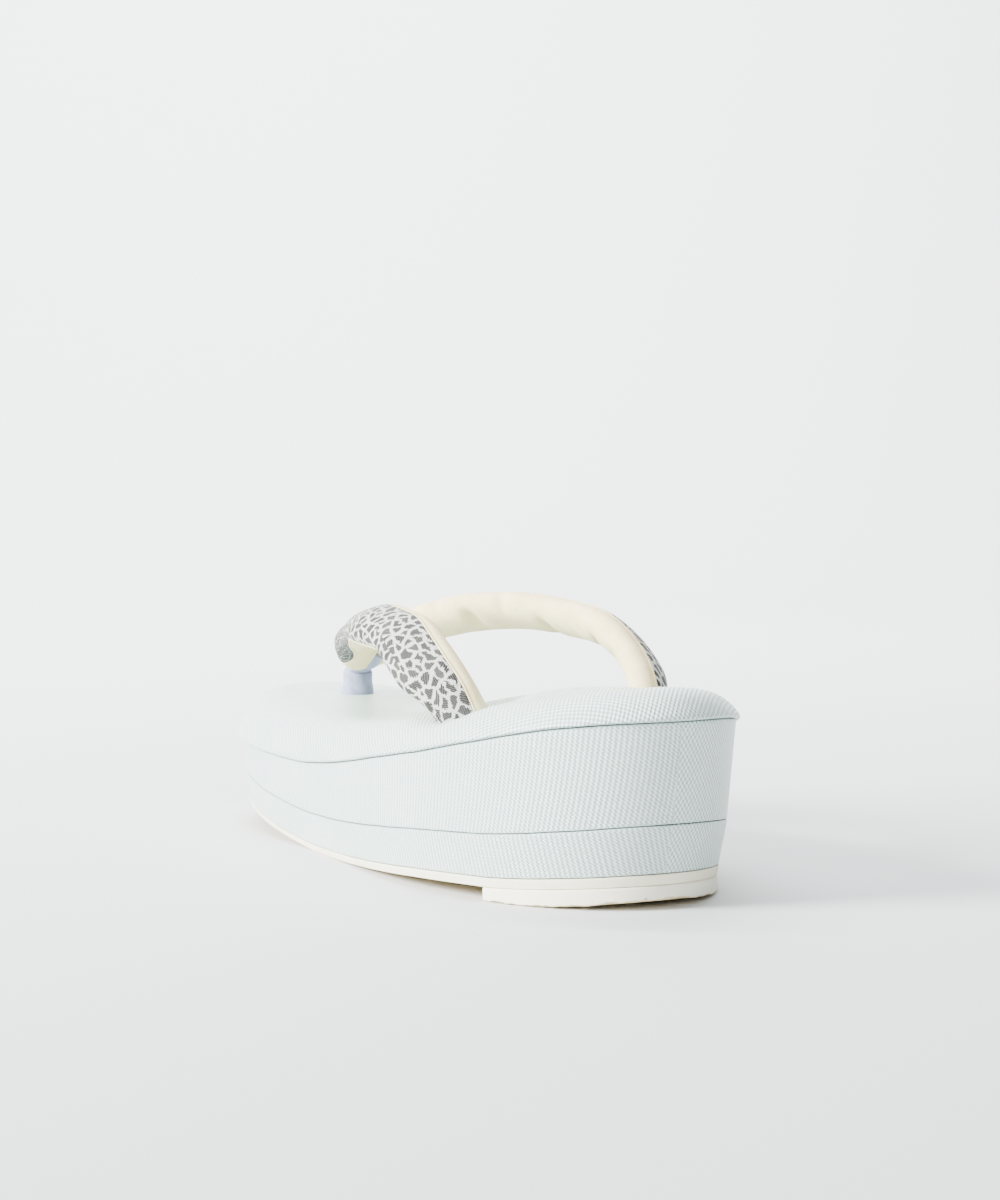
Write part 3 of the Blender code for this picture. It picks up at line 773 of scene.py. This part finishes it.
def felt_paint(wire):
    """Ivory felt: matted fibres and faint ribs, a little darker and warmer in its hollows."""
    across, along = wire.sheet()
    fibres = wire.grain(0.5 * MM, 4.0)
    clumps = wire.grain(5 * MM, 2.0)
    ribs = (along * (2 * math.pi / (0.75 * MM))).cosine() * 0.5 + 0.5
    tone = (fibres * 0.5 + clumps * 0.5).between(0.3, 0.65)
    colour = tone.tint((0.80, 0.66, 0.34, 1), (0.89, 0.785, 0.45, 1))
    height = fibres * 0.6 + ribs * 0.25 + clumps * 0.4
    bump = wire.add("ShaderNodeBump", {}, {"Strength": 0.45, "Distance": 0.3 * MM, "Height": height})
    return {"Base Color": colour, "Roughness": 0.8 + fibres * 0.12, "Normal": bump}


brocade = finish_of("silver_brocade", {"Specular IOR Level": 0.15}, brocade_paint)
felt = finish_of("ivory_felt", {"Sheen Weight": 0.12, "Specular IOR Level": 0.2}, felt_paint)

strap_halves = []
for rows, side, start in ((RIGHT_STRAP_ROWS, 1, 0.0), (LEFT_STRAP_ROWS, -1, 0.012)):
    loops = strap_loops(rows, side, INSIDE_ANGLES[0 if side > 0 else 1])
    sheet = []
    run = 0.0
    for number, loop in enumerate(loops):
        if number:
            run += (sum(loop, Vector()) - sum(loops[number - 1], Vector())).length / STRAP_POINTS
        round_it = start
        row = []
        for index in range(STRAP_POINTS + 1):
            row.append((round_it, run))
            round_it += (loop[(index + 1) % STRAP_POINTS] - loop[index % STRAP_POINTS]).length
        sheet.append(row)
    half = skin("strap_half", loops, sheet, brocade, False)
    half.data.materials.append(felt)
    for face in half.data.polygons:
        place = face.index % STRAP_POINTS
        face.material_index = 1 if SEAM_OUTSIDE <= place < SEAM_INSIDE else 0
    strap_halves.append(half)

with bpy.context.temp_override(
    active_object=strap_halves[0],
    object=strap_halves[0],
    selected_objects=strap_halves,
    selected_editable_objects=strap_halves,
):
    bpy.ops.object.join()
padded_straps = strap_halves[0]
padded_straps.name = "padded_straps"
sewn = bmesh.new()
sewn.from_mesh(padded_straps.data)
bmesh.ops.remove_doubles(sewn, verts=sewn.verts, dist=0.01 * MM)
bmesh.ops.recalc_face_normals(sewn, faces=sewn.faces)
sewn.to_mesh(padded_straps.data)
sewn.free()
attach(padded_straps, "root")
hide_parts("straps")


def cord_along(name, points, radius, finish):
    """A thin sewn cord through points, drawn in a little at each stitch."""
    loops = []
    for index in range(1, len(points) - 1):
        heading = (points[index + 1] - points[index - 1]).normalized()
        side = heading.cross(Vector((0.0, 0.0, 1.0))).normalized()
        top = side.cross(heading)
        girth = radius * (1.0 if index % 3 else 0.72)
        loop = []
        for step in range(8):
            angle = math.pi / 4 * step
            loop.append(points[index] + side * math.cos(angle) * girth + top * math.sin(angle) * girth)
        loops.append(loop)
    return skin(name, loops, wrapped(loops), finish)


for rows, side in ((RIGHT_STRAP_ROWS, 1), (LEFT_STRAP_ROWS, -1)):
    loops = strap_loops(rows, side, INSIDE_ANGLES[0 if side > 0 else 1])
    for seam in (SEAM_OUTSIDE, SEAM_INSIDE):
        path = spline_rows([tuple(loop[seam]) for loop in loops], 3)
        piping = cord_along("piping", [Vector(point) for point in path], PIPING_RADIUS, felt)
        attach(piping, "root")
        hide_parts("straps")


# The toe thong: a soft tube of lavender cotton. It comes up through the front hole, flares a little on the
# footbed, and is folded back under the joined straps.

THONG_WIDTH = 9.4 * MM
THONG_THICKNESS = 8 * MM
THONG_DEPTH = 7 * MM
THONG_POINTS = 48

# Thong from the footbed up, then back under the straps: y from the hole as a share of half the way to the
# strap holes, height above the footbed as a share of the thong's depth, lean of the section back from level
# in degrees, width and thickness as shares of the thong's own
THONG_ROWS = (
    (0.000, -0.30, 0, 1.08, 1.08),
    (0.000, 0.00, 0, 1.07, 1.07),
    (0.000, 0.25, 1, 1.00, 1.00),
    (0.000, 0.55, 2, 0.97, 0.97),
    (-0.002, 0.80, 6, 0.98, 0.94),
    (-0.018, 0.96, 36, 0.84, 0.64),
    (-0.065, 1.12, 56, 0.72, 0.42),
    (-0.130, 1.40, 52, 0.66, 0.36),
    (-0.200, 1.80, 30, 0.50, 0.28),
)

straps_inside = BVHTree.FromObject(padded_straps, bpy.context.evaluated_depsgraph_get())


def tucked_under(point):
    """A point of the thong, kept just inside the straps where it would pass through them."""
    start = Vector((max(abs(point.x), STRAP_PARTING), point.y, 30 * MM))
    hit = straps_inside.ray_cast(start, Vector((0.0, 0.0, 1.0)))[0]
    if hit is None:
        return point
    return Vector((point.x, point.y, min(point.z, hit.z - 0.15 * MM)))


thong_loops = []
for y_share, z_share, lean, width_share, thickness_share in spline_rows(THONG_ROWS, 6):
    turn = math.radians(lean)
    middle = Vector((0.0, THONG_Y + STRAP_REACH / 2 * y_share, bed_height(THONG_Y) + THONG_DEPTH * z_share))
    back = Vector((0.0, math.cos(turn), math.sin(turn)))
    loop = []
    for step in range(THONG_POINTS):
        angle = 2 * math.pi * step / THONG_POINTS
        fold = 1 + 0.025 * math.cos(5 * angle + 3 * z_share) * (1 - min(abs(z_share), 1.0) * 0.5)
        a = math.cos(angle) * THONG_WIDTH / 2 * width_share * fold
        b = math.sin(angle) * THONG_THICKNESS / 2 * thickness_share * fold
        loop.append(tucked_under(middle + Vector((a, 0.0, 0.0)) + back * b))
    thong_loops.append(loop)
for end in (0, -1):
    middle = sum(thong_loops[end], Vector()) / THONG_POINTS
    cap = [middle] * THONG_POINTS
    thong_loops = [cap] + thong_loops if end == 0 else thong_loops + [cap]


def cotton_paint(wire):
    """Lavender cotton: a fine plain weave, paler and darker in random slubs."""
    across, along = wire.sheet()
    warp = (across * (2 * math.pi / (0.42 * MM))).cosine()
    weft = (along * (2 * math.pi / (0.42 * MM))).cosine()
    weave = (warp * weft) * 0.5 + 0.5
    slub = wire.grain(1.6 * MM, 3.0)
    tone = (weave * 0.35 + slub * 0.65).between(0.25, 0.7)
    colour = tone.tint((0.24, 0.27, 0.42, 1), (0.38, 0.41, 0.58, 1))
    height = weave * 0.6 + slub * 0.6
    bump = wire.add("ShaderNodeBump", {}, {"Strength": 0.5, "Distance": 0.15 * MM, "Height": height})
    return {"Base Color": colour, "Roughness": 0.78 + slub * 0.1, "Normal": bump}


cotton = finish_of("lavender_cotton", {"Sheen Weight": 0.25, "Specular IOR Level": 0.3}, cotton_paint)
cotton_thong = skin("cotton_thong", thong_loops, wrapped(thong_loops), cotton, False)
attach(cotton_thong, "root")
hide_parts("toe_thong")


# The studio: a pale seamless sweep, a soft light low from the left, a weaker one from behind on the left, a
# faint one above, one on the backdrop and a dim pale surround.

CAMERA_TURN = 0.4692
SWEEP_RADIUS = 0.8
SWEEP_HALF_WIDTH = 3.5
sweep_mesh = bmesh.new()
sweep_rows = []
profile = [(-2.5, 0.0), (1.2, 0.0)]
profile += [
    (1.2 + SWEEP_RADIUS * math.sin(math.radians(a)), SWEEP_RADIUS * (1 - math.cos(math.radians(a))))
    for a in range(6, 91, 6)
]
profile.append((2.0, 4.0))
toward = Vector((math.sin(CAMERA_TURN), math.cos(CAMERA_TURN), 0.0))
sideways = Vector((toward.y, -toward.x, 0.0))
for reach, rise in profile:
    middle = toward * reach + Vector((0.0, 0.0, rise))
    ends = (middle + sideways * way for way in (-SWEEP_HALF_WIDTH, SWEEP_HALF_WIDTH))
    sweep_rows.append([sweep_mesh.verts.new(end) for end in ends])
for low, high in zip(sweep_rows, sweep_rows[1:]):
    sweep_mesh.faces.new((low[0], low[1], high[1], high[0]))
sweep_data = bpy.data.meshes.new("sweep")
sweep_mesh.to_mesh(sweep_data)
sweep_mesh.free()
sweep_data.shade_smooth()
sweep = bpy.data.objects.new("sweep", sweep_data)
bpy.context.scene.collection.objects.link(sweep)
paper = bpy.data.materials.new("paper")
paper.use_nodes = True
paper.node_tree.nodes["Principled BSDF"].inputs["Base Color"].default_value = (0.62, 0.635, 0.64, 1)
paper.node_tree.nodes["Principled BSDF"].inputs["Roughness"].default_value = 0.75
sweep_data.materials.append(paper)

world = bpy.data.worlds.new("surround")
world.use_nodes = True
world.node_tree.nodes["Background"].inputs["Color"].default_value = (0.90, 0.94, 1.0, 1)
world.node_tree.nodes["Background"].inputs["Strength"].default_value = 0.47
bpy.context.scene.world = world


def soft_light(name, place, aim, size, power, colour):
    """A rectangular lamp at a place, turned to aim at another."""
    data = bpy.data.lights.new(name, "AREA")
    data.shape = "RECTANGLE"
    data.size = size[0]
    data.size_y = size[1]
    data.energy = power
    data.color = colour
    made = bpy.data.objects.new(name, data)
    made.location = place
    made.rotation_euler = (Vector(aim) - Vector(place)).to_track_quat("-Z", "Y").to_euler()
    bpy.context.scene.collection.objects.link(made)


soft_light("key", (-1.2, 0.15, 0.62), (0.0, 0.0, 0.03), (0.5, 0.5), 100, (1.0, 1.0, 0.99))
soft_light("front", (-0.85, -1.15, 0.7), (0.0, 0.0, 0.03), (0.9, 0.7), 15, (0.97, 0.99, 1.0))
soft_light("top", (-0.15, 0.1, 1.3), (0.0, 0.0, 0.0), (1.0, 1.0), 4, (1.0, 1.0, 1.0))
soft_light("backdrop", (0.0, 0.7, 1.6), (1.0, 1.9, 0.6), (1.6, 1.0), 215, (1.0, 1.0, 1.0))


# The camera, at the photograph's viewing angle: low, behind the sandal and to its left.

CAMERA_PLACE = Vector((-0.32759, -0.66852, 0.11061))
CAMERA_PITCH = -0.0526
CAMERA_ROLL = -0.0053
forward = Vector((
    math.sin(CAMERA_TURN) * math.cos(CAMERA_PITCH),
    math.cos(CAMERA_TURN) * math.cos(CAMERA_PITCH),
    math.sin(CAMERA_PITCH),
))
right = Vector((math.cos(CAMERA_TURN), -math.sin(CAMERA_TURN), 0.0))
upward = right.cross(forward)
rolled_right = right * math.cos(CAMERA_ROLL) + upward * math.sin(CAMERA_ROLL)
rolled_up = upward * math.cos(CAMERA_ROLL) - right * math.sin(CAMERA_ROLL)
camera_data = bpy.data.cameras.new("camera")
camera_data.lens = 79.25
camera_data.sensor_width = 36
camera_data.clip_start = 0.02
camera = bpy.data.objects.new("camera", camera_data)
camera.matrix_world = Matrix.Translation(CAMERA_PLACE) @ Matrix(
    (rolled_right, rolled_up, -forward)
).transposed().to_4x4()
bpy.context.scene.collection.objects.link(camera)
bpy.context.scene.camera = camera
